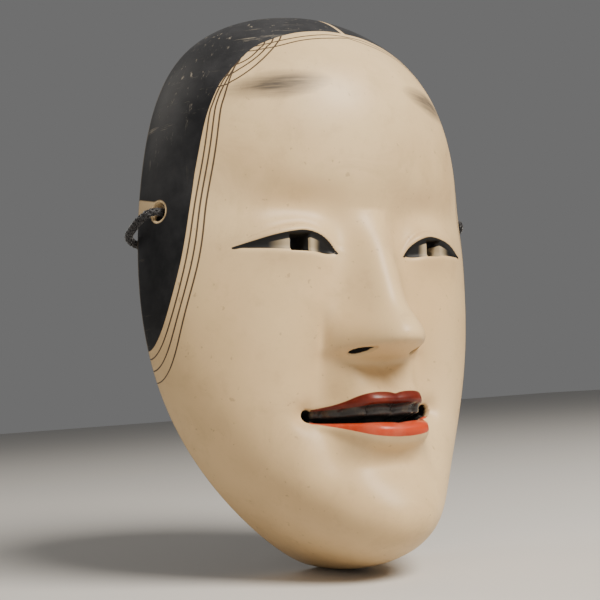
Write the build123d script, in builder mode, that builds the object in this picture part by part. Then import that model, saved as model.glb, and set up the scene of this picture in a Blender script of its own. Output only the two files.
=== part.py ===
from build123d import *
from math import cos, exp, pi, radians, sin, sqrt, tan
import os

os.makedirs("parts", exist_ok=True)

# A carved theatre mask. +X is to the viewer's right, the face looks along -Y, the wearer is at
# +Y and +Z is up. The origin is the centre of the back rim's plane. All sizes in millimetres.

# Carved block
mask_height = 212
mask_width = 138
face_depth = 45.7           # depth of the bare dome at the middle of its height
wall_side = 7.2             # wood left at the rim
wall_front = 8.8            # wood left behind the face
wall_ends = 8.8             # wood left at the crown and under the chin
end_angle = 0.985 * pi / 2  # keeps the first and last sections a little wider than a point

# Openings in the face, as places on a mask of the design size
design_width, design_height = 138, 212
through = 140               # length of the cutters that pass through the face
pupil_place = (28.5, 9.3)
pupil_width, pupil_height = 7.0, 6.0
nostril_place = (10.5, -29)
nostril_diameter = 3.2
nostril_slope = 35          # degrees the nostrils rise towards the inside
mouth_height_place = -50.5
mouth_slot_width, mouth_slot_height = 42, 3.2

# Cord holes in the temples
hole_diameter = 7.0
hole_height = 25.3          # above the middle of the mask
hole_depth = 13.2           # how far the hole's centre lies in front of the rim

# Cords. The points are those of the cord on the viewer's left
cord_diameter = 3.0
knot_diameter = 9.0
knot_centre = Vector(-53.6, -1.2, 10.6)
loop_points = [
    (-54.4, -4.8, 13.6),
    (-54.8, -8.9, 20.2),
    (-59.2, -10.8, 25.0),
    (-67.9, -13.9, 25.6),
    (-72.4, -11.4, 23.6),
    (-73.6, -4.8, 21.2),
    (-71.9, 2.0, 18.6),
    (-66.0, 4.6, 15.8),
    (-59.8, 3.6, 13.2),
    (-56.0, 0.6, 11.6),
]
tail_points = [
    (-52.4, -4.2, 8.4),
    (-50.6, -7.4, 7.0),
    (-47.6, -9.6, 5.2),
    (-45.6, -10.6, 1.6),
]
hank_centre = Vector(-38.4, -10.8, -29.0)
hank_tilt = 12.2            # degrees, so that the hank follows the cheek
hank_run = 46.0             # straight part of the hank
fold_width = 15.0           # across the hank, between the middles of its two sides
hank_turns = 5              # turns lying side by side
tie_height, tie_wall = 8.0, 1.2
end_knot_diameter = 6.4
end_knot_place = 12.0       # below the middle of the hank
end_knot_sunk = 0.8         # how far the end knot is pressed flat against the hank

half_height = mask_height / 2
width_scale = mask_width / design_width
height_scale = mask_height / design_height


def outline(height, half_width, half_tall):
    """Half width of the rim at a height: an egg, fuller at the forehead."""
    t = height / half_tall
    egg = 1 + 0.037 * t + 0.023 * t**2 + 0.32 * t**3 - 0.03 * t**4
    return half_width * egg * sqrt(max(1 - t**2, 0))


def middle_depth(height, depth, half_tall):
    """Depth of the bare dome along its middle line."""
    t = height / half_tall
    swell = 1 + 0.226 * t + 0.386 * t**2 - 0.764 * t**3
    return depth * swell * sqrt(max((1 - t**2) * (1 + 1.575 * t**2), 0))


def fullness(t):
    """Exponent of the dome's cross-section: boxier at the chin, rounder at the crown."""
    return 2.1 - 0.43 * t


def bump(x, z, centre_x, centre_z, spread_x, spread_z):
    return exp(-(((x - centre_x) / spread_x) ** 2) - ((z - centre_z) / spread_z) ** 2)


def step(value):
    return 1 / (1 + exp(-value))


def beside_mouth(side, z):
    """Broad hollow round the mouth, in which its corners lie."""
    return exp(-((side / 34) ** 2.5) - ((z + 48) / 23) ** 2)


def muzzle(side, z, spread_x, spread_z):
    """Steep-sided swelling that carries the lips."""
    return exp(-((side / spread_x) ** 4) - abs((z + 48) / spread_z) ** 2.4)


def features(x, z):
    """Carved relief over the bare dome, by the usual proportions of a face."""
    side, across = abs(x), x
    relief = 2.5 * bump(across, z, 0, 56, 44, 26)                    # forehead
    relief -= 4.5 * bump(side, z, 28, 22, 17, 9)                     # under the brows
    relief += 3.2 * bump(side, z, 29, 8, 15, 8)                      # lids
    relief -= 1.6 * bump(side, z, 30, 6.5, 14, 4)                    # eye slits
    relief -= 1.5 * bump(across, z, 0, 20, 8, 9)                     # bridge of the nose
    down = min(max((20 - z) / 47, 0), 1.1)
    relief += 20.0 * down**1.15 * step((z + 31) / 2.6) * exp(-((x / (6.5 + 5 * down)) ** 2))
    relief += 6.5 * bump(side, z, 12, -24, 6, 7.5)
    relief -= 9.0 * beside_mouth(side, z)
    relief += 14.5 * muzzle(side, z, 16.5, 17)
    relief += 1.6 * bump(across, z, 0, -44, 13, 3.5)                 # upper lip
    relief += 2.4 * bump(across, z, 0, -56, 12, 4)                   # lower lip
    relief -= 2.0 * bump(across, z, 0, -68, 17, 5)
    relief += 5.0 * bump(across, z, 0, -86, 21, 14)                  # chin
    relief += 3.0 * bump(side, z, 34, -16, 18, 22)                   # cheeks
    return relief


def hollows(x, z):
    """Room inside for the nose and mouth, and wood left behind the eyes and the mouth's corners."""
    side = abs(x)
    room = 12 * bump(x, z, 0, -20, 8.5, 14) + 10 * muzzle(side, z, 13, 14)
    return room - 9 * beside_mouth(side, z) - 3 * bump(side, z, 28, 9, 12, 9)


def dome(half_width, half_tall, depth, relief, levels=41, count=36):
    """Solid from the plane of the rim out to a carved face, lofted through level sections."""
    sections = []
    for i in range(levels):
        t = sin((2 * i / (levels - 1) - 1) * end_angle)
        z = t * half_tall
        wide = outline(z, half_width, half_tall)
        deep = middle_depth(z, depth, half_tall)
        points = []
        for j in range(count + 1):
            side = sin((j / count - 0.5) * pi)
            fade = min(4 * (1 - max(abs(side) ** 3, abs(t) ** 3)), 1)
            out = deep * sqrt(1 - abs(side) ** fullness(t))
            out += fade * relief(side * wide / width_scale, z / height_scale)
            points.append((side * wide, -max(out, 0)))
        with BuildSketch(Plane.XY.offset(z)) as section:
            with BuildLine():
                Spline(*points)
                Line(points[-1], points[0])
            make_face()
        sections.append(section.sketch)
    with BuildPart(mode=Mode.PRIVATE) as body:
        loft(sections)
    return body.part


def hole_axis(side):
    """Line through a cord hole, square to the dome: a point on the surface and a direction."""
    deep = middle_depth(hole_height, face_depth, half_height)
    power = fullness(hole_height / half_height)
    wide = outline(hole_height, mask_width / 2, half_height)

    def edge(depth):
        return wide * (1 - (depth / deep) ** 2) ** (1 / power)

    slope = (edge(hole_depth - 1) - edge(hole_depth + 1)) / 2
    return Vector(side * edge(hole_depth), -hole_depth, hole_height), Vector(side, -slope, 0)


outside = dome(mask_width / 2, half_height, face_depth, features)
inside = dome(
    mask_width / 2 - wall_side, half_height - wall_ends, face_depth - wall_front, hollows
)

# Pupils, nostrils, the slot between the lips and the cord holes, which pass through every layer
with BuildPart() as openings:
    with BuildSketch(Plane.XZ):
        with GridLocations(2 * pupil_place[0] * width_scale, 1, 2, 1):
            with Locations((0, pupil_place[1] * height_scale)):
                Rectangle(pupil_width, pupil_height)
        with Locations((0, mouth_height_place * height_scale)):
            SlotOverall(mouth_slot_width, mouth_slot_height)
    extrude(amount=through)
    for side in (-1, 1):
        nostril = Vector(
            side * nostril_place[0] * width_scale,
            -face_depth - wall_front,
            nostril_place[1] * height_scale,
        )
        rise = Vector(0, cos(radians(nostril_slope)), sin(radians(nostril_slope)))
        with BuildSketch(Plane(nostril, z_dir=rise)):
            Circle(nostril_diameter / 2)
        extrude(amount=3 * wall_front, both=True)
        point, outward = hole_axis(side)
        with BuildSketch(Plane(point, z_dir=outward)):
            Circle(hole_diameter / 2)
        extrude(amount=2 * wall_side, both=True)

# Wooden block, carved on the face and hollowed from behind
with BuildPart() as carved_shell:
    add(outside)
    add(inside, mode=Mode.SUBTRACT)
    add(openings.part, mode=Mode.SUBTRACT)
carved_shell.part.label = "carved_shell"
export_step(carved_shell.part, "parts/carved_shell.step")


def cord_path(points):
    """Straight runs joined by arcs, each as large as its two runs allow."""
    radii = []
    for before, corner, after in zip(points, points[1:], points[2:]):
        first, second = corner - before, after - corner
        turn = radians(first.get_angle(second))
        radii.append(0.45 * min(first.length, second.length) / tan(turn / 2))
    return FilletPolyline(*points, radius=radii), radii


def cord_tube(points, name):
    """Cord along a route; prints its radii and compares its volume with section times length."""
    with BuildPart(mode=Mode.PRIVATE) as tube:
        with BuildLine():
            path, radii = cord_path(points)
        with BuildSketch(Plane(path @ 0, z_dir=path % 0)):
            Circle(cord_diameter / 2)
        sweep(path=path)
    expected = pi * cord_diameter**2 / 4 * path.length
    print(name, "length", round(path.length, 1), "radii", [round(r, 1) for r in radii])
    print(name, "volume over expected", round(tube.part.volume / expected, 4))
    return tube.part


hank_thickness = hank_turns * cord_diameter
drop = Vector(sin(radians(hank_tilt)), 0, -cos(radians(hank_tilt)))
inward = drop.cross(Vector(0, 1, 0))
hank_plane = Plane(hank_centre, x_dir=drop, z_dir=inward)
loop_tube = cord_tube([Vector(p) for p in loop_points], "loop")
tail_tube = cord_tube([Vector(p) for p in tail_points], "tail")

# The length that is put away, wound flat and tied round the middle
with BuildPart() as cord_hank:
    with BuildSketch(hank_plane):
        SlotOverall(hank_run + fold_width + cord_diameter, fold_width + cord_diameter)
    extrude(amount=hank_thickness / 2, both=True)

with BuildPart() as hank_tie:
    with BuildSketch(hank_plane):
        Rectangle(tie_height, fold_width + cord_diameter + 2 * tie_wall)
    extrude(amount=hank_thickness / 2 + tie_wall, both=True)
    add(cord_hank.part, mode=Mode.SUBTRACT)

# Knot that closes the loop behind the rim
with BuildPart() as cord_knot:
    with Locations(knot_centre):
        Sphere(knot_diameter / 2)
    add(loop_tube, mode=Mode.SUBTRACT)
    add(tail_tube, mode=Mode.SUBTRACT)

with BuildPart() as cord_loop:
    add(loop_tube)

with BuildPart() as cord_tail:
    add(tail_tube)
    add(cord_hank.part, mode=Mode.SUBTRACT)

# Knot in the free end, lying on the hank's inner side
end_knot_rise = hank_thickness / 2 + end_knot_diameter / 2 - end_knot_sunk
with BuildPart() as end_knot:
    with Locations(hank_centre + drop * end_knot_place + inward * end_knot_rise):
        Sphere(end_knot_diameter / 2)
    add(cord_hank.part, mode=Mode.SUBTRACT)

cord_pieces = {
    "cord_loop": cord_loop,
    "cord_knot": cord_knot,
    "cord_tail": cord_tail,
    "cord_hank": cord_hank,
    "hank_tie": hank_tie,
    "end_knot": end_knot,
}

# The cord in the other temple is the mirror image
for name, piece in cord_pieces.items():
    piece.part.label = "left_" + name
    export_step(piece.part, "parts/left_" + name + ".step")
    with BuildPart() as opposite:
        mirror(piece.part, about=Plane.YZ)
    opposite.part.label = "right_" + name
    export_step(opposite.part, "parts/right_" + name + ".step")
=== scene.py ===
import math
import bpy
import numpy as np
from mathutils import Matrix, Vector


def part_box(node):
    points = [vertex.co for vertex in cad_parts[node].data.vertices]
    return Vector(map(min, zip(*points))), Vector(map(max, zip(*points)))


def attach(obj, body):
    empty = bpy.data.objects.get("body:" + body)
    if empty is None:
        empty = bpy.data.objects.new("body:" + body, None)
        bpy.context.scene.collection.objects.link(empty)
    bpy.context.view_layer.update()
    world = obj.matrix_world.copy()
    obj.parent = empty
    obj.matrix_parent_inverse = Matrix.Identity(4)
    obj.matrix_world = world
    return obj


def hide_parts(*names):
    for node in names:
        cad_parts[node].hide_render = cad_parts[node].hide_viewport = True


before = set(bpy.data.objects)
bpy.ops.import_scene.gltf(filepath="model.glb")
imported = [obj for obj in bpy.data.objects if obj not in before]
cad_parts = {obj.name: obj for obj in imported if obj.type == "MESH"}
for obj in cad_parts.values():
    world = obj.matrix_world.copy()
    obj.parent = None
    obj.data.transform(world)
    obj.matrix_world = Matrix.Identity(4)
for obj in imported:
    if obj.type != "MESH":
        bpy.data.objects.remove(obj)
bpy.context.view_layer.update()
mm = 0.001


# Camera
viewpoint = {"yaw": -31.2, "pitch": -6.1, "roll": -3.9, "distance": 0.4, "lens": 61.56, "shift": (-0.0083, -0.02)}
yaw, pitch, roll = (math.radians(viewpoint[k]) for k in ("yaw", "pitch", "roll"))
away = Vector((math.sin(yaw) * math.cos(pitch), -math.cos(yaw) * math.cos(pitch), math.sin(pitch)))
level = Vector((math.cos(yaw), math.sin(yaw), 0))
upright = away.cross(level)
across = level * math.cos(roll) + upright * math.sin(roll)
upward = away.cross(across)
camera = bpy.data.objects.new("camera", bpy.data.cameras.new("camera"))
facing = Matrix((across, upward, away)).transposed().to_4x4()
camera.matrix_world = Matrix.Translation(away * viewpoint["distance"]) @ facing
camera.data.lens = viewpoint["lens"]
camera.data.shift_x, camera.data.shift_y = viewpoint["shift"]
camera.data.clip_start = 0.01
bpy.context.scene.collection.objects.link(camera)
bpy.context.scene.camera = camera


class Shade:
    # a socket of a node tree, used in Python arithmetic
    def __init__(self, tree, out):
        self.tree, self.out = tree, out

    def node(self, kind, settings=None, out=0, **sockets):
        made = self.tree.nodes.new(kind)
        for key, value in (settings or {}).items():
            setattr(made, key, value)
        for key, value in sockets.items():
            numbered = key[0] == "i" and key[1:].isdigit()
            slot = made.inputs[int(key[1:]) if numbered else key.replace("_", " ")]
            if isinstance(value, Shade):
                self.tree.links.new(value.out, slot)
            else:
                slot.default_value = (*value, 1) if slot.type == "RGBA" and len(value) == 3 else value
        return Shade(self.tree, made.outputs[out])

    def math(self, operation, *values, clamp=False):
        sockets = {"i%d" % i: value for i, value in enumerate(values)}
        return self.node("ShaderNodeMath", {"operation": operation, "use_clamp": clamp}, **sockets)

    def __add__(self, other): return self.math("ADD", self, other)
    def __sub__(self, other): return self.math("SUBTRACT", self, other)
    def __mul__(self, other): return self.math("MULTIPLY", self, other)
    def __radd__(self, other): return self.math("ADD", other, self)
    def __rsub__(self, other): return self.math("SUBTRACT", other, self)
    def __rmul__(self, other): return self.math("MULTIPLY", other, self)
    def __truediv__(self, other): return self.math("DIVIDE", self, other)

    def below(self, edge, soft):
        return self.math("MULTIPLY_ADD", self, -0.5 / soft, 0.5 + 0.5 * edge / soft, clamp=True)

    def above(self, edge, soft):
        return self.math("MULTIPLY_ADD", self, 0.5 / soft, 0.5 - 0.5 * edge / soft, clamp=True)

    def clamped(self):
        return self.math("ADD", self, 0.0, clamp=True)

    def size(self):
        return self.math("ABSOLUTE", self)

    def most(self, other):
        return self.math("MAXIMUM", self, other)


class Finish:
    def __init__(self, name, roughness=0.5, **constants):
        self.material = bpy.data.materials.new(name)
        self.material.use_nodes = True
        self.tree = self.material.node_tree
        self.node = Shade(self.tree, None).node
        self.shader = self.tree.nodes["Principled BSDF"]
        self.shader.inputs["Roughness"].default_value = roughness
        for key, value in constants.items():
            self.shader.inputs[key.replace("_", " ")].default_value = value
        self.place = self.node("ShaderNodeTexCoord", out="Object")

    def attribute(self, name):
        return self.node("ShaderNodeAttribute", {"attribute_name": name}, out="Fac")

    def stretched(self, scale, turn=(0, 0, 0)):
        return self.node("ShaderNodeMapping", Vector=self.place, Scale=scale, Rotation=turn)

    def noise(self, scale, detail=4, rough=0.55, vector=None, distortion=0.0):
        return self.node("ShaderNodeTexNoise", Vector=vector or self.place, Scale=scale, Detail=detail,
                         Roughness=rough, Distortion=distortion)

    def mix(self, amount, first, second):
        return self.node("ShaderNodeMix", {"data_type": "RGBA"}, out=2, i0=amount, i6=first, i7=second)

    def feed(self, socket, value):
        self.tree.links.new(value.out, self.shader.inputs[socket])

    def bump(self, height, strength, distance):
        self.feed("Normal", self.node("ShaderNodeBump", Height=height, Strength=strength, Distance=distance))


def plain(piece):
    # turns what the modifiers make into the piece's own mesh
    graph = bpy.context.evaluated_depsgraph_get()
    mesh = bpy.data.meshes.new_from_object(piece.evaluated_get(graph))
    piece.modifiers.clear()
    piece.data = mesh


# Cords, in millimetres: the left one, which the right one mirrors
cord = {
    "diameter": 3.0,
    "lay": {"step": 0.85, "layRadius": 1.02, "strandRadius": 0.46, "weave": 0.13, "pitch": 8.2, "coreRadius": 0.95},
    "knotLay": {"layRadius": 0.88, "strandRadius": 0.42, "pitch": 7.4, "coreRadius": 0.8},
    "endLay": {"step": 0.6, "layRadius": 0.66, "strandRadius": 0.34, "pitch": 6.0, "coreRadius": 0.6},
    "loop": [(-54.4, -4.8, 13.6), (-54.8, -8.9, 20.2), (-59.2, -10.8, 25.0), (-67.6, -13.9, 25.6), (-71.2, -11.6, 23.4),
             (-71.9, -5.0, 20.8), (-71.6, 2.4, 18.2), (-66.0, 4.4, 15.8), (-59.8, 3.6, 13.2), (-56.0, 0.6, 11.6)],
    "tail": [(-52.4, -4.2, 8.4), (-50.6, -7.4, 7.0), (-47.6, -9.6, 5.2), (-45.6, -10.6, 1.6)],
    "exit": (-59.2, -10.8, 25.0), "knot": (-53.6, -1.2, 10.6), "knotSize": 1.28, "endKnotSize": 0.95,
}
hank = {
    "centre": (-38.4, -10.8, -29.0), "tilt": 12.2, "turns": 5, "layer": 3.0,
    "turn": [(-12, -7.6), (2, -7.5), (14, -7.6), (24, -7.7), (29.2, -6.0), (31.0, 0), (29.2, 6.0), (24, 7.7),
             (12, 7.6), (-2, 7.5), (-14, 7.6), (-24, 7.7), (-29.2, 6.0), (-31.0, 0), (-29.2, -6.0), (-24, -7.7)],
    "looseness": [(0.99, 0.97), (1.0, 1.0), (0.985, 0.98), (1.0, 0.99), (0.975, 0.96)],
    "tieTurns": 7, "tiePitch": 1.12, "threadRadius": 0.55, "endKnotDrop": 12.0,
}
drop = Vector((math.sin(math.radians(hank["tilt"])), 0, -math.cos(math.radians(hank["tilt"]))))
inward = drop.cross(Vector((0, 1, 0)))


def onHank(along, across, layer):
    return Vector(hank["centre"]) + drop * along + Vector((0, across, 0)) + inward * layer


def cordRoute():
    knot = Vector(cord["knot"])
    points = [knot] + [Vector(p) for p in cord["loop"]] + [knot + Vector((0.6, -0.8, 0.2))]
    points += [Vector(p) for p in cord["tail"]]
    first = -hank["layer"] * (hank["turns"] - 1) / 2
    points.append(onHank(-24, -6.4, first + 1.5))
    count = len(hank["turn"])
    for n in range(hank["turns"]):
        longer, wider = hank["looseness"][n]
        for i, (along, across) in enumerate(hank["turn"]):
            # each turn but the last steps over to the next one near its end
            drift = max(i - count + 4, 0) / 4 if n < hank["turns"] - 1 else 0
            points.append(onHank(along * longer, across * wider, first + hank["layer"] * (n + drift)))
    points += [onHank(-10, -5.0, 7.2), onHank(0, -2.0, 9.0), onHank(7, 0, 9.6), onHank(hank["endKnotDrop"], 0, 9.6)]
    return points


def splinePoints(name, points, closed=False):
    curve = bpy.data.curves.new(name, "CURVE")
    curve.dimensions, curve.resolution_u = "3D", 8
    spline = curve.splines.new("NURBS")
    spline.points.add(len(points) - 1)
    for target, point in zip(spline.points, points):
        target.co = (*(Vector(point) * mm), 1)
    spline.order_u = 3
    spline.use_endpoint_u = not closed
    spline.use_cyclic_u = closed
    line = bpy.data.objects.new(name, curve)
    bpy.context.scene.collection.objects.link(line)
    graph = bpy.context.evaluated_depsgraph_get()
    mesh = bpy.data.meshes.new_from_object(line.evaluated_get(graph))
    places = [tuple(v.co) for v in mesh.vertices]
    bpy.data.objects.remove(line)
    bpy.data.meshes.remove(mesh)
    return places


def nodeTree(name, **sizes):
    tree = bpy.data.node_groups.new(name, "GeometryNodeTree")
    tree.interface.new_socket("Geometry", in_out="INPUT", socket_type="NodeSocketGeometry")
    for key, value in sizes.items():
        kind = {int: "NodeSocketInt", tuple: "NodeSocketVector", float: "NodeSocketFloat"}[type(value)]
        tree.interface.new_socket(key, in_out="INPUT", socket_type=kind).default_value = value
    tree.interface.new_socket("Geometry", in_out="OUTPUT", socket_type="NodeSocketGeometry")
    return tree


def stored(geometry, name, value):
    settings = {"data_type": "FLOAT", "domain": "POINT"}
    return geometry.node("GeometryNodeStoreNamedAttribute", settings, Geometry=geometry, Name=name, Value=value)


def roundProfile(make, sides, radius):
    # a ring that remembers, in sideA and sideB, which way each point faces
    ring = make("GeometryNodeCurvePrimitiveCircle", Resolution=sides, Radius=radius)
    turnAt = make("GeometryNodeInputIndex") * (2 * math.pi / sides)
    for name, part in (("sideA", "COSINE"), ("sideB", "SINE")):
        ring = stored(ring, name, turnAt.math(part, turnAt))
    return ring


def finished(tree, geometry, material):
    done = geometry.node("GeometryNodeRealizeInstances", Geometry=geometry)
    done = geometry.node("GeometryNodeSetMaterial", Geometry=done, Material=material)
    tree.links.new(done.out, tree.nodes.new("NodeGroupOutput").inputs[0])
    return tree


def braidTree(material):
    # eight strands, four each way, wave over and under one another round a core
    tree = nodeTree("braidedCord", **{key: value * mm for key, value in cord["lay"].items()})
    start = tree.nodes.new("NodeGroupInput")
    size = {slot.name: Shade(tree, slot) for slot in start.outputs if slot.name}
    make = size["Geometry"].node
    line = make("GeometryNodeMeshToCurve", Mesh=size["Geometry"])
    line = make("GeometryNodeResampleCurve", {"mode": "LENGTH"}, Curve=line, Length=size["step"])
    copies = make("GeometryNodeDuplicateElements", {"domain": "SPLINE"}, Geometry=line, Amount=8)
    which = Shade(tree, copies.out.node.outputs["Duplicate Index"])
    run = make("GeometryNodeSplineParameter", out="Length")
    hand = which.math("MODULO", which, 2.0) * 2.0 - 1.0
    place = which.math("FLOOR", which * 0.5)
    angle = hand * (run / size["pitch"] * (2 * math.pi)) + place * (math.pi / 2)
    lift = size["layRadius"] + hand * size["weave"] * angle.math("COSINE", run / size["pitch"] * (8 * math.pi))
    normal = make("GeometryNodeInputNormal")
    tangent = make("GeometryNodeInputTangent")
    side = make("ShaderNodeVectorMath", {"operation": "CROSS_PRODUCT"}, i0=tangent, i1=normal)
    first = make("ShaderNodeVectorMath", {"operation": "SCALE"}, i0=normal, Scale=lift * angle.math("COSINE", angle))
    second = make("ShaderNodeVectorMath", {"operation": "SCALE"}, i0=side, Scale=lift * angle.math("SINE", angle))
    offset = make("ShaderNodeVectorMath", {"operation": "ADD"}, i0=first, i1=second)
    strands = make("GeometryNodeSetPosition", Geometry=stored(copies, "run", run), Offset=offset)
    ring = roundProfile(make, 6, size["strandRadius"])
    braid = make("GeometryNodeCurveToMesh", Curve=strands, Profile_Curve=ring, Fill_Caps=True)
    core = make("GeometryNodeCurveToMesh", Curve=line, Fill_Caps=True,
                Profile_Curve=make("GeometryNodeCurvePrimitiveCircle", Resolution=8, Radius=size["coreRadius"]))
    both = tree.nodes.new("GeometryNodeJoinGeometry")
    tree.links.new(core.out, both.inputs[0])
    tree.links.new(braid.out, both.inputs[0])
    return finished(tree, Shade(tree, both.outputs[0]), material)


def tieTree(material):
    tree = nodeTree("threadTie", turns=7, pitch=0.001, threadRadius=0.0005, along=(0.0, 0.0, -1.0))
    start = tree.nodes.new("NodeGroupInput")
    size = {slot.name: Shade(tree, slot) for slot in start.outputs if slot.name}
    make = size["Geometry"].node
    loop = make("GeometryNodeMeshToCurve", Mesh=size["Geometry"])
    copies = make("GeometryNodeDuplicateElements", {"domain": "SPLINE"}, Geometry=loop, Amount=size["turns"])
    which = Shade(tree, copies.out.node.outputs["Duplicate Index"])
    jitter = make("FunctionNodeRandomValue", {"data_type": "FLOAT"}, out=1, i2=-0.12, i3=0.12, ID=which, Seed=4)
    shift = (which - (size["turns"] - 1.0) * 0.5 + jitter) * size["pitch"]
    move = make("ShaderNodeVectorMath", {"operation": "SCALE"}, i0=size["along"], Scale=shift)
    turns = make("GeometryNodeSetPosition", Geometry=copies, Offset=move)
    turns = stored(turns, "run", make("GeometryNodeSplineParameter", out="Length"))
    ring = roundProfile(make, 10, size["threadRadius"])
    thread = make("GeometryNodeCurveToMesh", Curve=turns, Profile_Curve=ring, Fill_Caps=True)
    return finished(tree, thread, material)


def grown(name, places, tree, closed=False, **sizes):
    # a mesh grown by the node tree along a line of places in metres
    mesh = bpy.data.meshes.new(name)
    edges = [(i, i + 1) for i in range(len(places) - 1)] + ([(len(places) - 1, 0)] if closed else [])
    mesh.from_pydata(places, edges, [])
    piece = bpy.data.objects.new(name, mesh)
    bpy.context.scene.collection.objects.link(piece)
    modifier = piece.modifiers.new(tree.name, "NODES")
    modifier.node_group = tree
    for slot in tree.interface.items_tree:
        if slot.in_out == "INPUT" and slot.name in sizes:
            modifier[slot.identifier] = sizes[slot.name]
    plain(piece)
    piece.data.polygons.foreach_set("use_smooth", [True] * len(piece.data.polygons))
    return piece


def silkFinish():
    f = Finish("black_silk_braid", 0.45, Sheen_Weight=0.35, Sheen_Roughness=0.4, Specular_IOR_Level=0.35)
    around = f.node("ShaderNodeCombineXYZ", X=f.attribute("sideA") * 3.0, Y=f.attribute("sideB") * 3.0,
                    Z=f.attribute("run") * 90.0)
    fibre = f.noise(1.6, 4, 0.6, around)
    dusty = f.noise(60, 4, 0.6)
    tone = f.mix(fibre.above(0.5, 0.2) * 0.6, (0.006, 0.006, 0.008), (0.026, 0.025, 0.029))
    tone = f.mix(dusty.above(0.6, 0.1) * 0.35, tone, (0.055, 0.050, 0.045))
    f.feed("Base Color", tone)
    f.feed("Roughness", (0.34 + fibre * 0.3).clamped())
    f.bump(fibre, 0.5, 0.0001)
    return f.material


def threadFinish():
    f = Finish("twisted_thread", 0.6, Sheen_Weight=0.3, Specular_IOR_Level=0.3)
    ply = f.attribute("run") * 5200.0
    swing = ply.math("ARCTAN2", f.attribute("sideB"), f.attribute("sideA"))
    twist = ply.math("SINE", ply + swing * 2.0)
    f.feed("Base Color", f.mix((twist * 0.5 + 0.5).clamped(), (0.012, 0.010, 0.010), (0.045, 0.038, 0.036)))
    f.feed("Roughness", (0.55 + twist * 0.08).clamped())
    f.bump(twist, 0.6, 0.00012)
    return f.material


def mirrored(places):
    return [(-x, y, z) for x, y, z in places]


def trefoil(centre, size, turnAxis):
    # tight overhand knot
    points = []
    for i in range(24):
        a = 2 * math.pi * i / 24
        p = Vector((math.sin(a) + 2 * math.sin(2 * a), math.cos(a) - 2 * math.cos(2 * a), -1.35 * math.sin(3 * a)))
        points.append(Vector(centre) + turnAxis @ (p * size))
    return points


def tieRing():
    # round the hank's middle, with its corners cut off
    wide, deep = 9.0 + hank["threadRadius"] * 0.8, 7.5 + hank["threadRadius"] * 0.8
    ring = []
    for layer, across, order in ((deep, wide, 1), (deep, -wide, -1), (-deep, -wide, 1), (-deep, wide, -1)):
        corner = [(layer, across - math.copysign(3, across)), (layer, across - math.copysign(1, across)),
                  (layer - math.copysign(1, layer), across), (layer - math.copysign(3, layer), across)]
        ring += corner[::order]
    return [onHank(0, across, layer) for layer, across in ring]


def makeCords():
    silk, thread = silkFinish(), threadFinish()
    braid, whipping = braidTree(silk), tieTree(thread)
    lay, knotLay, endLay = ({key: value * mm for key, value in {**cord["lay"], **change}.items()}
                            for change in ({}, cord["knotLay"], cord["endLay"]))
    route = splinePoints("route", cordRoute())
    aslant = Matrix.Rotation(0.7, 3, "X") @ Matrix.Rotation(0.5, 3, "Y")
    knotLine = splinePoints("knotLine", trefoil(cord["knot"], cord["knotSize"], aslant), closed=True)
    endAt = onHank(hank["endKnotDrop"], 0, 9.9)
    endLine = splinePoints("endLine", trefoil(endAt, cord["endKnotSize"], Matrix.Rotation(1.2, 3, "X")), closed=True)
    tieLine = splinePoints("tieLine", tieRing(), closed=True)
    for side, hand, flip in (("left", -1, lambda places: places), ("right", 1, mirrored)):
        path = flip(route)
        main = grown(side + "_cord", path, braid, **lay)
        knot = grown(side + "_knot", flip(knotLine), braid, closed=True, **knotLay)
        end = grown(side + "_knot_at_end", flip(endLine), braid, closed=True, **endLay)
        tie = grown(side + "_thread_tie", flip(tieLine), whipping, closed=True, turns=hank["tieTurns"],
                    pitch=hank["tiePitch"] * mm, threadRadius=hank["threadRadius"] * mm, along=flip([tuple(drop)])[0])
        parts = {
            main: (("cord_loop", "cord_tail", "cord_hank"), "silk_cord"), knot: (("cord_knot",), "silk_cord"),
            end: (("end_knot",), "silk_cord"), tie: (("hank_tie",), "tie_thread"),
        }
        for piece, (nodes, slot) in parts.items():
            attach(piece, "root")
            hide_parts(*(side + "_" + node for node in nodes))


makeCords()


# The mask's form, in millimetres
form = {
    "width": 138, "height": 212, "depth": 45.7,
    "wallSide": 7.2, "wallFront": 8.8, "wallEnds": 8.8,
    "rimRound": 0.6, "turn": 1.3,
    "backCells": (82, 110), "finer": 3,
}
halfHeight = form["height"] / 2


def outline(z, halfWidth, halfTall):
    t = z / halfTall
    egg = 1 + 0.037 * t + 0.023 * t**2 + 0.32 * t**3 - 0.03 * t**4
    return halfWidth * egg * np.sqrt(np.maximum(1 - t**2, 0))


def middleDepth(z, depth, halfTall):
    t = z / halfTall
    swell = 1 + 0.226 * t + 0.386 * t**2 - 0.764 * t**3
    return depth * swell * np.sqrt(np.maximum((1 - t**2) * (1 + 1.575 * t**2), 0))


def bump(x, z, centreX, centreZ, spreadX, spreadZ):
    return np.exp(-(((x - centreX) / spreadX) ** 2) - ((z - centreZ) / spreadZ) ** 2)


def ease(value):
    return 1 / (1 + np.exp(-np.clip(value, -30, 30)))


def curveThrough(points, steps=10):
    # Catmull-Rom curve through a few points
    p = np.array(points, float)
    p = np.vstack([2 * p[0] - p[1], p, 2 * p[-1] - p[-2]])
    t = np.linspace(0, 1, steps, endpoint=False)[:, None]
    out = []
    for a, b, c, d in zip(p, p[1:], p[2:], p[3:]):
        out.append(0.5 * (2 * b + (c - a) * t + (2 * a - 5 * b + 4 * c - d) * t**2 + (3 * b - 3 * c + d - a) * t**3))
    return np.vstack(out + [p[-2:-1]])


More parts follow.
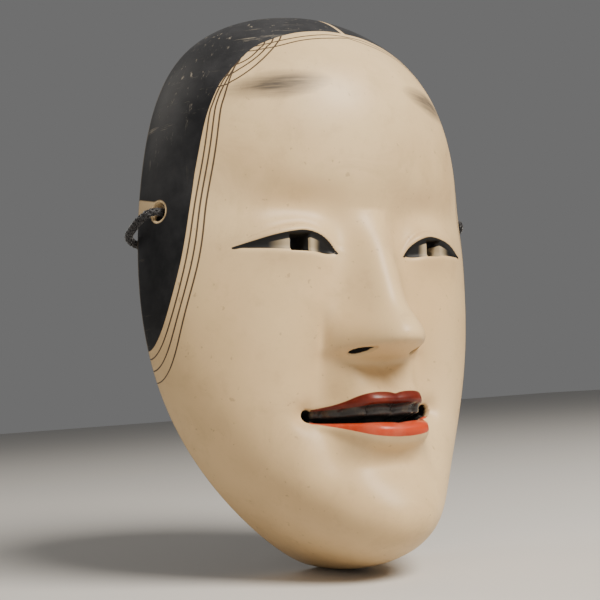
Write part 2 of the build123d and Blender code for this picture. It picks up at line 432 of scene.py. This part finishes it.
def sideDistance(flat, line, stretch):
    # signed distance from points to a line, positive on its left, stretched by the slope across the line
    best = np.full(len(flat), 1e9)
    signed = np.zeros(len(flat))
    for i, (a, b) in enumerate(zip(line, line[1:])):
        run = b - a
        along = np.clip(((flat - a) @ run) / max(run @ run, 1e-12), 0, 1)
        gap = np.linalg.norm(flat - a - along[:, None] * run, axis=1)
        cross = run[0] * (flat[:, 1] - a[1]) - run[1] * (flat[:, 0] - a[0])
        near = gap < best
        best = np.where(near, gap, best)
        wide = stretch[i] + (stretch[i + 1] - stretch[i]) * along
        signed = np.where(near, gap * wide * np.where(cross >= 0, 1, -1), signed)
    return signed


def stretchAcross(line):
    # how much longer a step across the line is on the surface than on the flat
    run = np.gradient(line, axis=0)
    normal = np.column_stack([-run[:, 1], run[:, 0]]) / np.linalg.norm(run, axis=1)[:, None]
    before, after = (frontDepth(np.column_stack(leaned(*edge.T))) for edge in (line - normal, line + normal))
    return np.minimum(np.sqrt(1 + ((after - before) / 2) ** 2), 4)


def insideDistance(flat, loop):
    # signed distance to a closed outline, positive inside
    edge = np.vstack([loop, loop[:1]])
    best = np.full(len(flat), 1e9)
    inside = np.zeros(len(flat), bool)
    for a, b in zip(edge, edge[1:]):
        run = b - a
        along = np.clip(((flat - a) @ run) / max(run @ run, 1e-12), 0, 1)
        best = np.minimum(best, np.linalg.norm(flat - a - along[:, None] * run, axis=1))
        crosses = (a[1] > flat[:, 1]) != (b[1] > flat[:, 1])
        safe = b[1] - a[1] if b[1] != a[1] else 1e-12
        inside ^= crosses & (flat[:, 0] < run[0] * (flat[:, 1] - a[1]) / safe + a[0])
    return np.where(inside, best, -best)


# Outlines of the features on one half; x counts outwards from the middle
eye = {
    "upper": [(14.2, 5.9), (17.2, 9.2), (21.4, 11.8), (26.3, 13.2), (31, 12.9), (37.4, 11.6), (42.9, 10.0),
              (48.8, 8.2)],
    "lower": [(48.8, 8.2), (42, 7.7), (37.7, 7.4), (31, 6.9), (25, 6.4), (19, 5.6), (14.2, 5.9)],
    "pupil": (28.5, 9.4, 7.2, 6.4), "sink": 1.6, "crease": 2.8,
}
mouth = {
    "upperTop": [(0, -43.2), (2.6, -42.6), (6.4, -42.4), (9.9, -42.7), (12.9, -43.6), (15.3, -45.0), (17.8, -46.2),
                 (20.4, -46.9), (23.6, -47.6)],
    "upperLow": [(23.6, -48.0), (18.8, -47.7), (16, -47.5), (12, -46.8), (8.4, -46.4), (4.5, -46.3), (0, -46.6)],
    "teethLow": [(24.2, -49.9), (21.5, -50.1), (17, -50.1), (12.2, -49.7), (7.9, -49.9), (3.8, -50.1), (0, -50.4)],
    "lowerTop": [(25.2, -51.2), (22.2, -51.9), (18.4, -52.2), (15.3, -52.3), (12, -52.4), (7.5, -52.4), (3.4, -52.6),
                 (0, -52.9)],
    "lowerLow": [(23.6, -52.2), (21.6, -52.5), (18.4, -53.4), (15.9, -54.4), (13.6, -55.4), (10.9, -56.3), (7.2, -56.9),
                 (2.6, -57.3), (0, -57.3)],
    "ledge": [(25.2, -52.4), (20, -54.6), (16.4, -56.8), (13.4, -58.6), (9.5, -60.0), (4.9, -60.9), (0, -61.3)],
    "corner": (24.5, -49.3, 2.4), "toothEdges": [0, 9.4, 15.6, 19.8, 23.2],
    "level": -48, "muzzle": (15.0, 16.5, 17), "beside": (9.0, 34, 23),
}
nose = {"top": 22, "length": 49, "height": 21.8, "base": -28.9, "wing": (8.6, 17.6, -23.2, 7.4)}
nostril = {"place": (10.8, -54.6, -30.6), "halfLength": 5.0, "halfWidth": 2.0}
# Soft swellings and dips: height, place outwards and up, spread outwards and up
softForms = {
    "forehead": (2.5, 0, 56, 44, 26), "eyeSocket": (-4.6, 27, 22, 16, 8), "besideBridge": (-2.4, 13, 13, 7, 10),
    "temple": (-1.6, 50, 26, 10, 12), "eyeball": (3.4, 30, 10, 15, 8), "bridge": (-1.5, 0, 20, 8, 9),
    "wingFold": (-1.5, 20.3, -23.5, 1.7, 6.5), "lipGroove": (-1.0, 0, -37, 1.7, 4.5),
    "mouthCorner": (-3.0, 25.0, -49.0, 4.6, 4), "underLip": (-2.6, 0, -66, 18, 5), "chin": (5.0, 0, -84, 21, 13),
    "cheek": (3.0, 34, -16, 18, 22),
}


def beside(s, z):
    # the corners of the mouth lie deep
    depth, spreadX, spreadZ = mouth["beside"]
    return depth * np.exp(-((s / spreadX) ** 2.5) - ((z - mouth["level"]) / spreadZ) ** 2)


def lidHeight(s, line):
    points = curveThrough(line)
    order = np.argsort(points[:, 0])
    return np.interp(s, points[order, 0], points[order, 1])


def features(x, z):
    s = np.abs(x)
    relief = sum(height * bump(s, z, *form) for height, *form in softForms.values())
    # nose: a ridge that widens downwards, a rounded tip with a slanting underside, and a wing each side
    down = np.clip((nose["top"] - z) / nose["length"], 0, 1.12)
    foot = ease((z - nose["base"]) / 1.15)
    relief += nose["height"] * down**0.95 * np.exp(-np.abs(x / (7.0 + 5.0 * down)) ** 2.3) * foot
    relief += 2.4 * bump(x, z, 0, -21, 9, 7) * foot
    height, spreadX, level, spreadZ = nose["wing"]
    wing = height * np.exp(-((s / spreadX) ** 4) - ((z - level) / spreadZ) ** 2) * ease((z - nose["base"]) / 0.9)
    relief += wing * (1 - 0.75 * np.exp(-((s / 9) ** 2)))
    # the mouth stands on a narrow muzzle that runs down to the chin
    height, spreadX, spreadZ = mouth["muzzle"]
    relief += height * np.exp(-((s / spreadX) ** 5) - np.abs((z - mouth["level"]) / spreadZ) ** 2.4) - beside(s, z)
    upperTop = lidHeight(s, mouth["upperTop"])
    upperLow = lidHeight(s, mouth["upperLow"])
    lowerTop = lidHeight(s, mouth["lowerTop"])
    width = np.clip(1 - (s / 25.5) ** 3, 0, 1)
    lipUp = ease((upperTop + 1.2 - z) / 0.7) * ease((z - upperLow + 0.2) / 0.35)
    relief += width * lipUp * (1.9 + 0.8 * bump(x, z, 0, -44.5, 14, 2.2))
    ledge = lidHeight(s, mouth["ledge"])
    lipLow = ease((lowerTop + 0.1 - z) / 0.35) * ease((z - ledge) / 0.55)
    relief += width * lipLow * (2.7 + 1.5 * bump(x, z, 0, -55.5, 14, 2.6))
    inMouth = ease((upperLow - z) / 0.35) * ease((z - lowerTop) / 0.35) * ease((23.6 - s) / 0.5)
    tooth = np.zeros_like(x)
    edges = mouth["toothEdges"]
    for a, b in zip(edges, edges[1:]):
        part = np.clip((s - a) / (b - a), 0, 1)
        tooth = np.maximum(tooth, np.where((s >= a) & (s <= b), np.abs(np.sin(part * math.pi)) ** 0.5, 0))
    tooth = tooth * np.clip(1 - (np.abs(z + 47.6) / 3.0) ** 3, 0, 1) ** 0.5
    relief -= inMouth * (3.4 - 2.2 * tooth)
    # eyes: the opening is let in under a crisp lid, with a fine crease above
    upper = lidHeight(s, eye["upper"])
    lower = lidHeight(s, eye["lower"])
    inEye = ease((upper - z) / 0.3) * ease((z - lower) / 0.3) * ease((47.6 - s) / 0.6) * ease((s - 14.6) / 0.4)
    relief -= eye["sink"] * inEye * (0.45 + 0.55 * np.clip((upper - z) / 4, 0, 1) ** 0.5)
    crease = upper + eye["crease"] * np.clip(1 - ((s - 29) / 21) ** 2, 0, 1) ** 0.5
    alongLid = np.clip(1 - ((s - 29) / 18) ** 2, 0, 1)
    fold = 0.9 * ease((z - upper) / 0.3) * ease((crease - z) / 0.35)
    relief += alongLid * (fold - 0.7 * np.exp(-(((z - crease - 0.5) / 0.7) ** 2)))
    return relief


def hollows(x, z):
    s = np.abs(x)
    room = 12 * bump(x, z, 0, -20, 8.5, 14)
    room += 10 * np.exp(-((s / 13) ** 4) - np.abs((z - mouth["level"]) / 14) ** 2.4)
    room -= beside(s, z) + 3 * bump(s, z, 28, 9, 12, 9)
    # shallow gouge cuts left by the carver
    scallop = np.abs(np.sin(z / 3.1 + 0.5 * np.sin(x / 9))) * 0.5
    scallop += np.abs(np.sin(x / 4.3 + 0.9 * np.sin(z / 13))) * 0.35
    return room - scallop


turn = math.radians(form["turn"])


def carvedPlace(x, z):
    # the carving leans a little in its block
    return x * math.cos(turn) - z * math.sin(turn), z * math.cos(turn) + x * math.sin(turn)


def surface(across, up, halfWidth, halfTall, depth, relief):
    cap = np.sqrt(np.maximum(1 - up**2, 1e-9))
    side = np.clip(np.abs(across) / cap, 0, 1)
    z = up * halfTall
    x = outline(z, halfWidth, halfTall) * across / cap
    out = middleDepth(z, depth, halfTall) * np.sqrt(np.maximum(1 - side ** (2.1 - 0.43 * up), 0))
    fade = np.clip(4 * (1 - np.maximum(side**3, np.abs(up) ** 3)), 0, 1)
    out = out + fade * relief(*carvedPlace(x, z))
    return np.column_stack([x, -np.maximum(out, 0) - form["rimRound"], z])


def frontDepth(points):
    # the painted surface's y at places given as x and z
    z = points[:, 1]
    wide = outline(z, form["width"] / 2, halfHeight)
    cap = np.sqrt(np.maximum(1 - (z / halfHeight) ** 2, 1e-9))
    side = np.clip(points[:, 0] / np.maximum(wide, 1e-6), -1, 1)
    return surface(side * cap, z / halfHeight, form["width"] / 2, halfHeight, form["depth"], features)[:, 1]


def gridPlaces(cellsX, cellsZ):
    # square grid bent into a disc, a little denser towards the middle
    u, v = np.meshgrid(np.linspace(-1, 1, cellsX + 1), np.linspace(-1, 1, cellsZ + 1), indexing="ij")
    u, v = (0.78 * w + 0.22 * w**3 for w in (u, v))
    across, up = u * np.sqrt(1 - v * v / 2), v * np.sqrt(1 - u * u / 2)
    reach = np.hypot(across, up)
    spread = np.where(reach > 0, np.sin(np.minimum(reach, 1) * math.pi / 2) / np.maximum(reach, 1e-9), 1)
    return (across * spread).ravel(), (up * spread).ravel()


def borderLoop(cellsX, cellsZ, first):
    cell = lambda i, j: first + i * (cellsZ + 1) + j
    loop = [cell(i, 0) for i in range(cellsX)] + [cell(cellsX, j) for j in range(cellsZ)]
    return loop + [cell(i, cellsZ) for i in range(cellsX, 0, -1)] + [cell(0, j) for j in range(cellsZ, 0, -1)]


def gridFaces(cellsX, cellsZ, first, flip):
    faces = []
    for i in range(cellsX):
        for j in range(cellsZ):
            a = first + i * (cellsZ + 1) + j
            quad = (a, a + cellsZ + 1, a + cellsZ + 2, a + 1)
            faces.append(quad[::-1] if flip else quad)
    return faces


def meshObject(name, points, faces, materials=(), indices=None):
    mesh = bpy.data.meshes.new(name)
    mesh.from_pydata([tuple(p) for p in points], [], faces)
    made = bpy.data.objects.new(name, mesh)
    bpy.context.scene.collection.objects.link(made)
    for material in materials:
        mesh.materials.append(material)
    if indices is not None:
        mesh.polygons.foreach_set("material_index", indices)
    mesh.validate()
    return made


def prism(name, outlinePoints, direction, near, far):
    # closed prism through the given outline of space points
    base = np.array(outlinePoints, float)
    step = np.array(direction, float) / np.linalg.norm(direction)
    count = len(base)
    points = np.vstack([base + step * near, base + step * far]) * mm
    faces = [tuple(range(count))[::-1], tuple(range(count, 2 * count))]
    faces += [(i, (i + 1) % count, count + (i + 1) % count, count + i) for i in range(count)]
    made = meshObject(name, points, faces)
    if signedVolume(made.data) < 0:
        made.data.flip_normals()
    return made


def signedVolume(mesh):
    mesh.calc_loop_triangles()
    total = 0.0
    for tri in mesh.loop_triangles:
        a, b, c = (mesh.vertices[i].co for i in tri.vertices)
        total += a.dot(b.cross(c))
    return total


def leaned(x, z):
    # place in the block of a point given on the carving
    return x * math.cos(turn) + z * math.sin(turn), z * math.cos(turn) - x * math.sin(turn)


cordHole = {"place": (65.6, -13.2, 25.3), "axis": (0.937, -0.349, 0), "radius": 3.5}


def maskCutters():
    cutters = []
    for hand in (-1, 1):
        px, pz, pw, ph = eye["pupil"]
        corners = [(px - pw / 2, pz - ph / 2), (px + pw / 2, pz - ph / 2 + 0.3),
                   (px + pw / 2, pz + ph / 2), (px - pw / 2, pz + ph / 2)]
        square = [leaned(hand * a, b) for a, b in corners]
        cutters.append(prism("cutPupil", [(a, 0, b) for a, b in square], (0, -1, 0), 20, 80))
        nx, ny, nz = nostril["place"]
        slit = []
        for angle in np.linspace(0, 2 * math.pi, 20, endpoint=False):
            along = nostril["halfLength"] * math.cos(angle)
            thick = (nostril["halfWidth"] - 0.5 * math.cos(angle)) * math.sin(angle)
            a, b = leaned(hand * (nx - 0.45 * along + thick), nz + 0.42 * along)
            slit.append((a, ny - along, b))
        cutters.append(prism("cutNostril", slit, (0, 0.30, 0.95), -6, 9))
        axis = Vector((hand * cordHole["axis"][0], cordHole["axis"][1], 0)).normalized()
        centre = Vector((hand * cordHole["place"][0], cordHole["place"][1], cordHole["place"][2]))
        sideways = axis.cross(Vector((0, 0, 1)))
        ring = [centre + cordHole["radius"] * (sideways * math.cos(t) + Vector((0, 0, 1)) * math.sin(t))
                for t in np.linspace(0, 2 * math.pi, 32, endpoint=False)]
        cutters.append(prism("cutHole", ring, axis, -14, 14))
    # the gap under the teeth runs into a round pit at each corner
    low = curveThrough(mouth["lowerTop"])
    high = curveThrough(mouth["teethLow"])
    cx, cz, r = mouth["corner"]
    pit = [(cx + r * math.cos(t), cz + r * math.sin(t)) for t in np.linspace(-2.3, 2.3, 13)]
    half = [tuple(p) for p in low[::-1] if p[0] < 22.7] + pit + [tuple(p) for p in high if p[0] < 22.7]
    gap = half + [(-a, b) for a, b in half[::-1] if a > 0.01]
    gap = np.column_stack(leaned(*np.array(gap).T))
    inFront = np.column_stack([gap[:, 0], frontDepth(gap) - 2, gap[:, 1] + 0.6])
    cutters.append(prism("cutMouth", inFront, (0, 1, -0.3), 0, 26))
    return cutters


def cutAway(piece, cutters):
    for cutter in cutters:
        tool = piece.modifiers.new(cutter.name, "BOOLEAN")
        tool.operation, tool.solver, tool.object = "DIFFERENCE", "MANIFOLD", cutter
    plain(piece)
    for cutter in cutters:
        bpy.data.objects.remove(cutter)


tones = {
    "skin": (0.68, 0.50, 0.28), "skinWarm": (0.58, 0.39, 0.19), "stain": (0.33, 0.22, 0.11),
    "speck": (0.20, 0.13, 0.07), "brow": (0.055, 0.046, 0.040), "scratch": (0.33, 0.29, 0.23),
    "wornRim": (0.30, 0.24, 0.17),
    # crease is the brown of the painted shade in the lid's crease
    "crease": (0.30, 0.21, 0.13), "upperLipWorn": (0.30, 0.045, 0.02), "lowerLipWorn": (0.60, 0.17, 0.10),
    # pit is the near-black of the painted shade in the mouth's pits and the cut openings
    "toothWorn": (0.10, 0.075, 0.05), "pit": (0.004, 0.004, 0.004),
    # dust is the grey of the hair paint in dusty patches and towards the top of the head
    "hair": (0.006, 0.0065, 0.008), "dust": (0.075, 0.075, 0.08), "line": (0.018, 0.009, 0.009),
    "upperLip": (0.055, 0.0035, 0.002), "lowerLip": (0.46, 0.045, 0.012),
    "black": (0.002, 0.002, 0.0025), "white": (0.34, 0.27, 0.17), "tooth": (0.034, 0.031, 0.030),
}


def paintedFinish():
    f = Finish("painted_gofun", 0.42, Specular_IOR_Level=0.3)
    line = f.attribute
    cloud = f.noise(22, 5, 0.6)
    grain = f.noise(160, 4, 0.6)
    blotch = f.noise(9, 3, 0.5, distortion=0.4)
    skin = f.mix(blotch.above(0.52, 0.12) * 0.75, tones["skin"], tones["skinWarm"])
    skin = f.mix(cloud.above(0.58, 0.14) * 0.30, skin, tones["stain"])
    skin = f.mix(f.noise(38, 6, 0.7, distortion=0.8).above(0.60, 0.06) * 0.16, skin, tones["stain"])
    skin = f.mix(grain.above(0.64, 0.08) * 0.16, skin, tones["stain"])
    skin = f.mix(f.noise(420, 2, 0.5).above(0.72, 0.02) * 0.35, skin, tones["speck"])
    # brows: soft ink smudges drawn out in fine streaks
    streak = f.noise(1.0, 3, 0.6, f.stretched((60, 60, 900), (0, 0.06, 0)))
    brow = line("brow").above(0.42, 0.42) * (0.80 + 1.0 * (streak - 0.5))
    skin = f.mix(brow.clamped(), skin, tones["brow"])
    # hair, with strands drawn beside it
    wobble = (f.noise(70, 3, 0.5) - 0.5) * 0.35
    ink = line("strand0").size().below(0.34, 0.10)
    for i in range(1, strandCount):
        ink = ink.most((line("strand%d" % i).size() + wobble * 0.3).below(0.34, 0.10))
    skin = f.mix(ink * 0.92, skin, tones["line"])
    dust = f.noise(26, 5, 0.65)
    top = f.node("ShaderNodeSeparateXYZ", out="Z", Vector=f.place)
    # grey in patches of dust, and greyer towards the top of the head
    dusty = dust.above(0.55, 0.12) * 0.35 + (top - 0.078).above(0.0, 0.02) * 0.30
    hairTone = f.mix(dusty.clamped(), tones["hair"], tones["dust"])
    scratchUp = f.noise(1.0, 5, 0.7, f.stretched((420, 420, 26), (0, 0.05, 0)))
    scratchFlat = f.noise(1.0, 5, 0.7, f.stretched((30, 30, 520), (0.04, 0, 0)))
    patchy = f.noise(20, 2, 0.5).above(0.52, 0.05)
    scratches = (scratchUp.above(0.64, 0.03) * patchy).most(scratchFlat.above(0.65, 0.03) * patchy)
    hairTone = f.mix(scratches * 0.6, hairTone, tones["scratch"])
    hair = (line("hair") + wobble).above(0.0, 0.12) * (1 - line("parting").below(0.85, 0.15))
    colour = f.mix(hair, skin, hairTone)
    # bare ground round the cord holes and along the worn rim
    rubbed = (line("rubbed") + wobble * 1.4).above(0.0, 0.25)
    colour = f.mix(rubbed, colour, tones["skin"])
    rimWear = (line("rim") + (f.noise(90, 4, 0.6) - 0.5) * 1.6).below(0.35, 0.25)
    colour = f.mix(rimWear * 0.55, colour, tones["wornRim"])
    # eyes
    eyeOpening = line("eyeOpen").above(0.0, 0.10)
    shadeIn = line("eyeShade").clamped()
    eyeTone = f.mix(shadeIn, tones["white"], tones["black"])
    colour = f.mix(eyeOpening, colour, eyeTone)
    lidLine = line("lidLine").above(0.0, 0.12)
    colour = f.mix(lidLine, colour, tones["black"])
    # painted shade: a brown darkening along the crease above the upper lid
    crease = line("crease").below(0.15, 0.30) * 0.45
    colour = f.mix(crease, colour, tones["crease"])
    # lips and teeth
    lipNoise = f.noise(120, 3, 0.6)
    upperTone = f.mix(lipNoise.above(0.5, 0.2) * 0.35, tones["upperLip"], tones["upperLipWorn"])
    lowerTone = f.mix(lipNoise.above(0.55, 0.15) * 0.4, tones["lowerLip"], tones["lowerLipWorn"])
    colour = f.mix(line("upperLip").above(-0.15, 0.12), colour, upperTone)
    colour = f.mix(line("lowerLip").above(-0.12, 0.12), colour, lowerTone)
    toothTone = f.mix(f.noise(300, 3, 0.6).above(0.60, 0.08) * 0.5, tones["tooth"], tones["toothWorn"])
    colour = f.mix(line("mouthOpen").above(-0.05, 0.12), colour, toothTone)
    # painted shade: near-black in the pits at the mouth's corners and deep inside the cut openings
    colour = f.mix(line("shadeInHollows").above(0.0, 0.3), colour, tones["pit"])
    f.feed("Base Color", colour)
    rough = 0.42 + 0.16 * (cloud - 0.5) + hair * 0.06 + eyeOpening * 0.12
    rough = rough - line("upperLip").above(0.0, 0.2) * 0.08 - line("lowerLip").above(0.0, 0.2) * 0.08
    rough = rough - line("mouthOpen").above(0.0, 0.2) * 0.22 + line("shadeInHollows").above(0.0, 0.3) * 0.6
    f.feed("Roughness", rough.clamped())
    height = f.noise(260, 4, 0.6) * 0.35 + cloud * 0.9 - scratches * hair * 0.5 - rubbed * 0.5
    f.bump(height, 0.25, 0.0006)
    return f.material


def woodFinish():
    f = Finish("carved_back", 0.5)
    grain = f.noise(1.0, 6, 0.62, f.stretched((150, 150, 9)))
    pores = f.noise(1.0, 4, 0.6, f.stretched((900, 900, 40)))
    tone = f.mix(grain.above(0.5, 0.2), (0.115, 0.052, 0.024), (0.19, 0.095, 0.045))
    tone = f.mix(pores.above(0.6, 0.08) * 0.5, tone, (0.05, 0.024, 0.012))
    tone = f.mix(f.noise(14, 4, 0.6).above(0.58, 0.12) * 0.5, tone, (0.035, 0.018, 0.011))
    f.feed("Base Color", tone)
    f.feed("Roughness", (0.38 + 0.3 * (grain - 0.4)).clamped())
    f.bump(grain * 0.5 + pores * 0.3, 0.35, 0.0004)
    return f.material


# Painted lines on one half, in millimetres; each becomes a distance kept on the mask's points
hairPaint = {
    "edge": [(0, 90.2), (8.1, 90.3), (15.3, 89.3), (20.9, 88.0), (28.2, 85.3), (34.8, 81.9), (40.5, 77.0), (45.9, 70.9),
             (50.0, 64.4), (54.2, 53.5), (57.3, 38.5), (59.0, 26), (61.6, 8), (64.2, -8),
             (65.8, -20), (67.0, -32), (70, -50)],
    "fine": [(0.2, 88.3), (8, 88.2), (17, 86.6), (26, 84.3), (32, 82.6), (38, 82), (46, 86), (50, 100)],
    "fineLow": [(0.2, 87.6), (7, 86.4), (14.3, 85.3), (20.6, 83.9), (28, 81.5), (33.6, 80.3), (38.5, 79.9), (46, 82),
                (56, 92)],
    "cross": [
        [(20, 104), (31, 84.4), (34.1, 80.8), (36.6, 78.2), (39.4, 75.9), (43.5, 74.0), (50, 73), (66, 72)],
        [(17, 104), (28.1, 85.4), (31.6, 81.5), (34.5, 78.4), (38.4, 75.0), (42.5, 72.1),
         (46.2, 70.0), (52, 69.4), (68, 69)],
        [(14, 104), (24.6, 87.3), (28.1, 82.8), (31.2, 79.4), (35.6, 75.0), (40.3, 70.9),
         (45.3, 67.5), (50, 65.8), (70, 64)],
    ],
    "side": [
        [(34, 106), (41, 78.5), (44.6, 72.6), (48.2, 67.0), (51.3, 60.4), (53.6, 52.5), (57.7, 27),
         (60.7, 6.3), (64.0, -14), (66.2, -32), (70, -60)],
        [(31, 106), (39.6, 79.8), (43.2, 73.6), (46.6, 68.2), (49.9, 61.6), (52.3, 52.8), (56.3, 27),
         (59.2, 6.0), (62.8, -14.6), (64.9, -35), (68, -64)],
        [(28, 106), (38.0, 81.0), (41.4, 76.4), (44.8, 70.6), (48.1, 62.6), (50.8, 53.2), (54.7, 27),
         (57.6, 5.8), (61.4, -15), (63.4, -37), (66, -66)],
    ],
    "brow": (32.6, 64.8, 15.5, 4.9, 5.5),
}
strands = [hairPaint["fine"], hairPaint["fineLow"]] + hairPaint["cross"] + hairPaint["side"]
strandCount = len(strands)


def setAttribute(mesh, name, values):
    layer = mesh.attributes.new(name, "FLOAT", "POINT")
    layer.data.foreach_set("value", np.ascontiguousarray(values, np.float32))


def paintDistances(mesh):
    co = np.zeros(len(mesh.vertices) * 3)
    mesh.vertices.foreach_get("co", co)
    solid = co.reshape(-1, 3) / mm
    cx, cz = carvedPlace(solid[:, 0], solid[:, 2])
    s = np.abs(cx)
    flat = np.column_stack([s, cz])
    drawn = {"hair": hairPaint["edge"], **{"strand%d" % i: points for i, points in enumerate(strands)}}
    for name, points in drawn.items():
        line = curveThrough(points, 7)
        setAttribute(mesh, name, sideDistance(flat, line, stretchAcross(line)))
    setAttribute(mesh, "parting", s)
    bx, bz, bl, bh, tilt = hairPaint["brow"]
    c, d = math.cos(math.radians(-tilt)), math.sin(math.radians(-tilt))
    ax, az = (s - bx) * c + (cz - bz) * d, -(s - bx) * d + (cz - bz) * c
    reach = np.sqrt((ax / bl) ** 2 + (az / (bh * np.clip(1.1 - 0.012 * np.abs(ax), 0.3, 2))) ** 2)
    setAttribute(mesh, "brow", np.clip(1.15 - reach, 0, 1) ** 0.8)
    # eyes
    lid = curveThrough(eye["upper"])
    under = curveThrough(eye["lower"])
    opening = np.vstack([lid[:-1], under[:-1]])
    eyeIn = insideDistance(flat, opening)
    setAttribute(mesh, "eyeOpen", eyeIn)
    upper = lidHeight(s, eye["upper"])
    fromLid = upper - cz
    thick = 2.0 * np.clip(1 - ((s - 29) / 24) ** 2, 0.25, 1)
    near = (s > 13.5) & (s < 49.5)
    lidLine = np.minimum(np.minimum(thick - fromLid, fromLid + 0.35), eyeIn + 0.5)
    setAttribute(mesh, "lidLine", np.where(near, lidLine, -5))
    px, _, pw, _ = eye["pupil"]
    gap = np.abs(s - px) - pw / 2
    setAttribute(mesh, "eyeShade", np.clip((gap - 1.4) / np.where(s > px, 5.0, 2.2), 0, 1) ** 0.8)
    # distance from the lid's crease, where the painted shade goes
    crease = upper + eye["crease"] * np.clip(1 - ((s - 29) / 21) ** 2, 0, 1) ** 0.5
    setAttribute(mesh, "crease", np.where(np.abs(s - 28) < 17, np.abs(cz - crease), 5))
    # lips, teeth, and painted shade in the pits at the corners of the mouth and deep in the cuts near the middle
    top, low = curveThrough(mouth["upperTop"]), curveThrough(mouth["upperLow"])
    setAttribute(mesh, "upperLip", insideDistance(flat, np.vstack([[-4, -43.1], top, low, [-4, -46.7]])))
    lipTop, lipLow = curveThrough(mouth["lowerTop"]), curveThrough(mouth["lowerLow"])
    setAttribute(mesh, "lowerLip", insideDistance(flat, np.vstack([[-4, -52.8], lipTop[::-1], lipLow, [-4, -57.3]])))
    setAttribute(mesh, "mouthOpen", insideDistance(flat, np.vstack([[-4, -46.7], low[::-1], lipTop, [-4, -52.8]])))
    cornerX, cornerZ, r = mouth["corner"]
    deep = solid[:, 1] - frontDepth(np.column_stack([solid[:, 0], np.clip(solid[:, 2], -105.9, 105.9)]))
    pit = np.minimum(r + 2.4 - np.hypot(s - cornerX, cz - cornerZ), deep - 0.8)
    setAttribute(mesh, "shadeInHollows", np.maximum(pit, np.where(np.abs(cx) < 26, deep - 1.2, -5)))
    # ground laid bare at the cord holes
    hx, hy, hz = cordHole["place"]
    dx, dy, dz = np.abs(solid[:, 0]) - hx, solid[:, 1] - hy, solid[:, 2] - hz
    around = np.hypot(np.hypot(dx, dy), dz)
    toRim = np.clip((solid[:, 1] - hy) / 11.5, 0, 1)
    tear = 1.1 + 2.4 * toRim - np.abs(dz - 2.2 - 0.6 * toRim)
    patch = np.where((solid[:, 1] > hy) & (np.abs(solid[:, 0]) > 55), tear, -5)
    rubbed = np.maximum(cordHole["radius"] + 0.55 - around, patch)
    setAttribute(mesh, "rubbed", np.where(np.abs(solid[:, 0]) > 50, rubbed, -5))
    setAttribute(mesh, "rim", -solid[:, 1] - form["rimRound"])


def makeMask():
    bx, bz = form["backCells"]
    fx, fz = bx * form["finer"], bz * form["finer"]
    front = surface(*gridPlaces(fx, fz), form["width"] / 2, halfHeight, form["depth"], features)
    back = surface(*gridPlaces(bx, bz), form["width"] / 2 - form["wallSide"], halfHeight - form["wallEnds"],
                   form["depth"] - form["wallFront"], hollows)
    frontLoop = borderLoop(fx, fz, 0)
    backLoop = borderLoop(bx, bz, len(front))
    shrink = 1 - form["rimRound"] / (form["width"] / 2)
    outer = front[frontLoop] * (shrink, 0, shrink)
    inner = back[np.array(backLoop) - len(front)] * (2 - shrink, 0, 2 - shrink)
    points = np.vstack([front, back, outer, inner]) * mm
    o, i = len(front) + len(back), len(front) + len(back) + len(outer)
    faces = gridFaces(fx, fz, 0, False)
    indices = [0] * len(faces)
    faces += gridFaces(bx, bz, len(front), True)
    many, few, k = len(frontLoop), len(backLoop), form["finer"]
    faces += [(frontLoop[n], o + n, o + (n + 1) % many, frontLoop[(n + 1) % many]) for n in range(many)]
    for n in range(few):
        faces.append((i + n, i + (n + 1) % few, *(o + (k * (n + 1) - m) % many for m in range(k + 1))))
    faces += [(i + n, backLoop[n], backLoop[(n + 1) % few], i + (n + 1) % few) for n in range(few)]
    indices += [1] * (len(faces) - len(indices))
    mask = meshObject("mask_body", points, faces, [paintedFinish(), woodFinish()], indices)
    if signedVolume(mask.data) < 0:
        mask.data.flip_normals()
    cutAway(mask, maskCutters())
    mask.data.polygons.foreach_set("use_smooth", [True] * len(mask.data.polygons))
    paintDistances(mask.data)
    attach(mask, "root")
    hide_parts("carved_shell")
    return mask


mask = makeMask()
print("mask", len(mask.data.polygons), "faces, volume", round(signedVolume(mask.data) / 6 * 1e6, 1), "ml")


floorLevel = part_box("carved_shell")[0].z
floorSize = 4
floorCorners = [(a * floorSize, b * floorSize, floorLevel) for a, b in ((-1, -1), (1, -1), (1, 1), (-1, 1))]
floor = meshObject("floor", floorCorners, [(0, 1, 2, 3)])
floorFinish = Finish("pale_floor", 0.85, Base_Color=(0.62, 0.60, 0.57, 1))
floor.data.materials.append(floorFinish.material)

studio = {"lampColour": (1, 0.94, 0.85), "worldColour": (0.80, 0.80, 0.80, 1), "worldStrength": 0.2}
lamps = {
    "key": {"place": (0.18, -0.92, 0.80), "size": 0.6, "power": 31},
    "fill": {"place": (-0.9, -0.8, 0.3), "size": 0.9, "power": 1.5},
    "back": {"place": (-0.6, 0.7, 0.8), "size": 0.6, "power": 2},
}
for name, lamp in lamps.items():
    light = bpy.data.lights.new(name, "AREA")
    light.shape, light.size, light.energy, light.color = "DISK", lamp["size"], lamp["power"], studio["lampColour"]
    lit = bpy.data.objects.new(name, light)
    lit.location = lamp["place"]
    lit.rotation_euler = (-Vector(lamp["place"])).to_track_quat("-Z", "Y").to_euler()
    bpy.context.scene.collection.objects.link(lit)
world = bpy.data.worlds.new("studio")
world.use_nodes = True
background = world.node_tree.nodes["Background"]
background.inputs["Color"].default_value = studio["worldColour"]
background.inputs["Strength"].default_value = studio["worldStrength"]
bpy.context.scene.world = world
print("floor and lamps")
